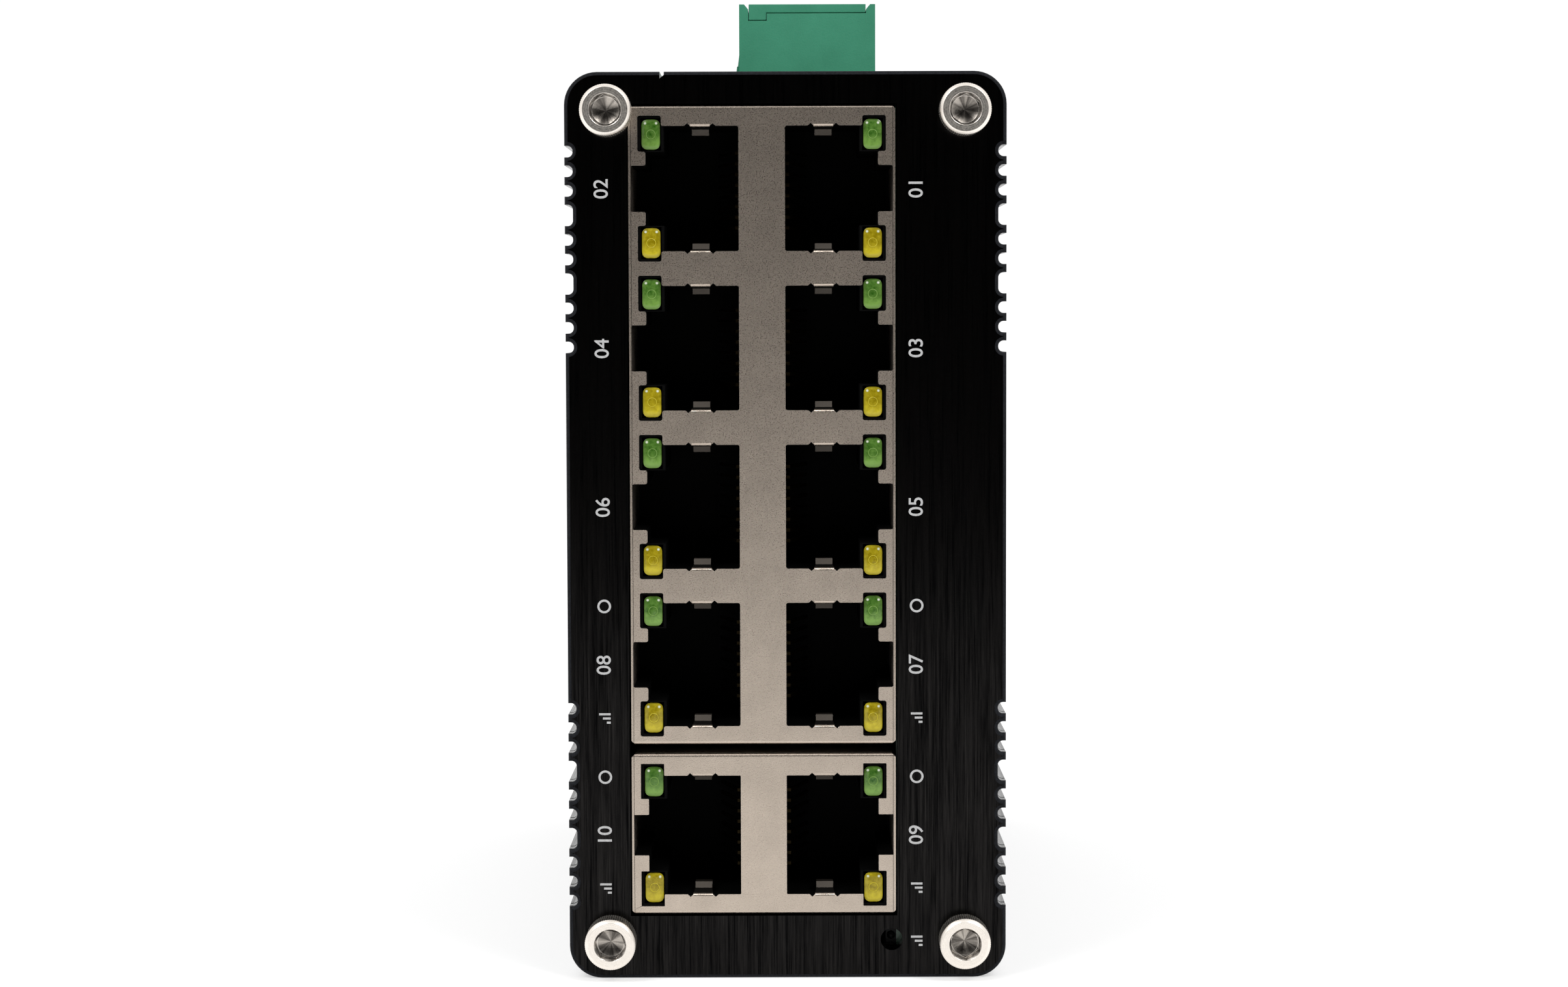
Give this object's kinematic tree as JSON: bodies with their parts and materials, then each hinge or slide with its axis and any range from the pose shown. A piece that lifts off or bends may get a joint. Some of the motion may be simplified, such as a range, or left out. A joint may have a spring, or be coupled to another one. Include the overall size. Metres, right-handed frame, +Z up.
{
  "type": "industrial ethernet switch",
  "caption": "Slim black rail-mounted industrial ethernet switch: grooved aluminium case, stacked metal-shielded network jacks with lamps, pull-off green supply plug on top.",
  "frame": {"origin": "centre of the case's bottom face, on which it can stand", "axes": "+Z up, -Y the front with the network ports, +Y the rail side, +X the side with the supply lamp"},
  "size_m": [0.0416, 0.105, 0.0973],
  "materials": {
    "black_anodised": "black anodised aluminium, faint upright brushing",
    "screw_steel": "turned stainless steel with a knurled head",
    "nickel_sheet": "satin nickel-plated sheet with fine speckle",
    "black_moulding": "black glass-filled moulding",
    "contact_gold": "gold-plated wire",
    "green_lens": "green translucent lamp window",
    "yellow_lens": "yellow translucent lamp window",
    "clear_lens": "clear epoxy",
    "board": "glass-fibre board with green solder mask",
    "chip_black": "moulded chip packages",
    "bare_aluminium": "bare extruded aluminium",
    "terminal_green": "satin green moulding",
    "tinned_metal": "tinned copper alloy",
    "zinc_sheet": "zinc-plated steel"
  },
  "bodies": {
    "case": {"housing_extrusion": "black_anodised", "front_plate": "black_anodised", "rear_plate": "black_anodised", "front_plate_screws": "screw_steel", "rear_plate_screws": "screw_steel", "upper_jack_shield": "nickel_sheet", "upper_jack_body": "black_moulding", "upper_jack_contacts": "contact_gold", "upper_green_lamps": "green_lens", "upper_yellow_lamps": "yellow_lens", "lower_jack_shield": "nickel_sheet", "lower_jack_body": "black_moulding", "lower_jack_contacts": "contact_gold", "lower_green_lamps": "green_lens", "lower_yellow_lamps": "yellow_lens", "main_circuit_board": "board", "power_lamp": "clear_lens", "switch_chip": "chip_black", "switch_heat_sink": "bare_aluminium", "poe_controllers": "chip_black", "line_transformers": "chip_black", "storage_capacitors": "bare_aluminium", "power_inductor": "chip_black", "power_transistors": "chip_black", "timing_crystal": "bare_aluminium", "memory_chip": "chip_black", "power_header": "terminal_green", "header_pins": "tinned_metal", "din_clip_plate": "zinc_sheet", "din_clip_spring": "zinc_sheet", "din_clip_screws": "zinc_sheet"},
    "terminal_plug": {"plug_housing": "terminal_green", "plug_cover": "terminal_green", "plug_contacts": "tinned_metal"},
    "clamp_screw_1": {"clamp_screw_1": "tinned_metal"},
    "clamp_cage_1": {"clamp_cage_1": "tinned_metal"},
    "clamp_screw_2": {"clamp_screw_2": "tinned_metal"},
    "clamp_cage_2": {"clamp_cage_2": "tinned_metal"},
    "clamp_screw_3": {"clamp_screw_3": "tinned_metal"},
    "clamp_cage_3": {"clamp_cage_3": "tinned_metal"}
  },
  "joints": [
    {"name": "plug_pull", "type": "slide", "parent": "case", "child": "terminal_plug", "axis": [0, 0, 1], "range_m": [0, 0.02]},
    {"name": "clamp_slide_1", "type": "slide", "parent": "terminal_plug", "child": "clamp_cage_1", "axis": [-1, 0, 0], "range_m": [0, 0.0024]},
    {"name": "clamp_turn_1", "type": "hinge", "parent": "terminal_plug", "child": "clamp_screw_1", "pos_m": [-0.002, 0.00454, 0.09155], "axis": [1, 0, 0], "range_deg": [0, 1921]},
    {"name": "clamp_slide_2", "type": "slide", "parent": "terminal_plug", "child": "clamp_cage_2", "axis": [-1, 0, 0], "range_m": [0, 0.0024]},
    {"name": "clamp_turn_2", "type": "hinge", "parent": "terminal_plug", "child": "clamp_screw_2", "pos_m": [-0.002, 0.00962, 0.09155], "axis": [1, 0, 0], "range_deg": [0, 1921]},
    {"name": "clamp_slide_3", "type": "slide", "parent": "terminal_plug", "child": "clamp_cage_3", "axis": [-1, 0, 0], "range_m": [0, 0.0024]},
    {"name": "clamp_turn_3", "type": "hinge", "parent": "terminal_plug", "child": "clamp_screw_3", "pos_m": [-0.002, 0.0147, 0.09155], "axis": [1, 0, 0], "range_deg": [0, 1921]}
  ],
  "couplings": [
    {"joint": "clamp_turn_1", "follows": "clamp_slide_1", "rad_per_m": 13963},
    {"joint": "clamp_turn_2", "follows": "clamp_slide_2", "rad_per_m": 13963},
    {"joint": "clamp_turn_3", "follows": "clamp_slide_3", "rad_per_m": 13963}
  ]
}
